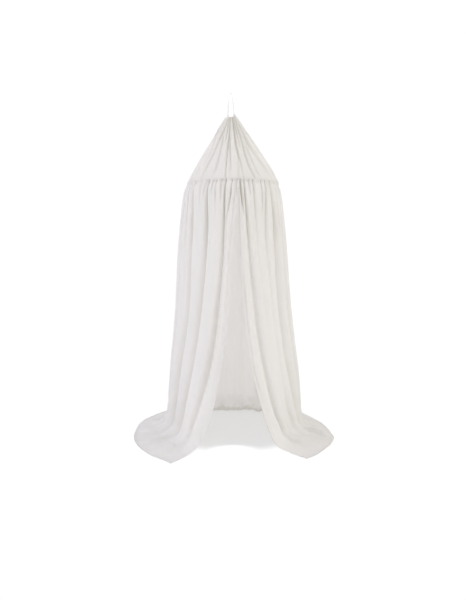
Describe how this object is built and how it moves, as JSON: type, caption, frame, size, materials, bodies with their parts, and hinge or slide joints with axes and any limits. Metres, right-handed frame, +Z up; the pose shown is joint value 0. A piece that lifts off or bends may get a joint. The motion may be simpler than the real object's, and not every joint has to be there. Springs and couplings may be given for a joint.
{
  "type": "hanging net canopy with its hoop",
  "caption": "Hanging net canopy: a gathered cone roof sewn to a hoop, a gathered skirt open at the front that pools on the floor, and a tape loop to hang it from.",
  "frame": {"origin": "inside top of the tape loop, where a ceiling hook carries the canopy", "axes": "+Z up, -Y towards the front opening, +X to the right as seen from the front; the floor is at z = -2.235"},
  "size_m": [1.3031, 1.246, 2.2358],
  "materials": {
    "cotton": "thin matte off-white voile, lightly crinkled",
    "hoop_coat": "plain off-white tube, satin",
    "tape": "flat woven white cotton tape"
  },
  "bodies": {
    "root": {"roof": "cotton", "skirt": "cotton", "hoop": "hoop_coat", "hanging_loop": "tape"}
  },
  "joints": []
}
